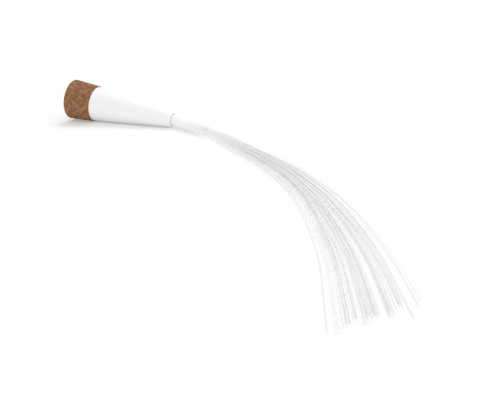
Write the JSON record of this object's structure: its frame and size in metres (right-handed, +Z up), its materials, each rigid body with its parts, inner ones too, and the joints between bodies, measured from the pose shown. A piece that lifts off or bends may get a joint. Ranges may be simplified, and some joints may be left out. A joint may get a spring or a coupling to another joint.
{
  "type": "fibre-optic bottle light",
  "caption": "Cork-shaped cap on a white tapered body that plugs a bottle neck, with a bundle of clear optical fibres fanned out from its nose.",
  "frame": {"origin": "middle of the footprint, on the table that the lamp and its fibres lie on", "axes": "+Z up from the table; +X along the lamp from the cork cap towards the nose, seen from above; +Y to the left of that, away from the side to which the fibres bend"},
  "size_m": [0.2684, 0.2496, 0.0286],
  "materials": {
    "cork": "matte agglomerated cork with fine dark speckles",
    "liner_plastic": "satin moulded",
    "collar_plastic": "satin moulded",
    "o_ring_rubber": "smooth",
    "spring_bronze": "bright rolled strip",
    "white_plastic": "semi-gloss white moulding, slightly see-through",
    "bulkhead_plastic": "satin moulded",
    "plug_steel": "nickel-plated sheet",
    "plug_insulator": "plain moulded",
    "gold_plate": "gold-plated, polished",
    "board_green": "solder mask over glass laminate",
    "chip_black": "moulded package",
    "component_ceramic": "ceramic chip parts",
    "led_lens_red": "tinted clear resin",
    "screw_steel": "zinc-plated",
    "cradle_plastic": "plain moulded",
    "cell_wrap": "steel can in a thin plastic wrap",
    "nickel_strip": "nickel strip",
    "red_insulation": "smooth wire insulation",
    "black_insulation": "smooth wire insulation",
    "led_board_white": "white-masked aluminium-core board",
    "led_lens_white": "yellow phosphor under clear resin",
    "reflector_mirror": "vacuum-metallised, mirror bright",
    "ferrule_metal": "turned",
    "potting_resin": "clear resin, polished",
    "clear_sleeve": "clear soft tube, smooth",
    "optical_fibre": "clear drawn fibre, smooth"
  },
  "bodies": {
    "lamp": {"tapered_body": "white_plastic", "bulkhead": "bulkhead_plastic", "usb_shell": "plug_steel", "usb_tongue": "plug_insulator", "usb_contacts": "gold_plate", "circuit_board": "board_green", "switch_pads": "gold_plate", "charge_chip": "chip_black", "board_components": "component_ceramic", "charge_led": "led_lens_red", "board_screws": "screw_steel", "cell_cradle": "cradle_plastic", "lithium_cell": "cell_wrap", "cell_tab_front": "nickel_strip", "cell_tab_rear": "nickel_strip", "lead_red": "red_insulation", "lead_black": "black_insulation", "led_board": "led_board_white", "white_led": "led_lens_white", "reflector": "reflector_mirror", "ferrule": "ferrule_metal", "potted_end": "potting_resin", "bundle_sleeve": "clear_sleeve", "fibre_tuft_01": "optical_fibre", "fibre_tuft_02": "optical_fibre", "fibre_tuft_03": "optical_fibre", "fibre_tuft_04": "optical_fibre", "fibre_tuft_05": "optical_fibre", "fibre_tuft_06": "optical_fibre", "fibre_tuft_07": "optical_fibre", "fibre_tuft_08": "optical_fibre", "fibre_tuft_09": "optical_fibre", "fibre_tuft_10": "optical_fibre", "fibre_tuft_11": "optical_fibre", "fibre_tuft_12": "optical_fibre", "fibre_tuft_13": "optical_fibre"},
    "collar": {"switch_collar": "collar_plastic", "collar_o_ring": "o_ring_rubber", "switch_wiper": "spring_bronze"},
    "cap": {"cork_cap": "cork", "cap_liner": "liner_plastic"}
  },
  "joints": [
    {"name": "switch", "type": "hinge", "parent": "lamp", "child": "collar", "pos_m": [-0.11372, 0.1108, 0.01251], "axis": [0.9927, 0, -0.1209], "range_deg": [0, 30]},
    {"name": "cap_pull", "type": "slide", "parent": "collar", "child": "cap", "axis": [-0.9927, 0, 0.1209], "range_m": [0, 0.03]}
  ]
}
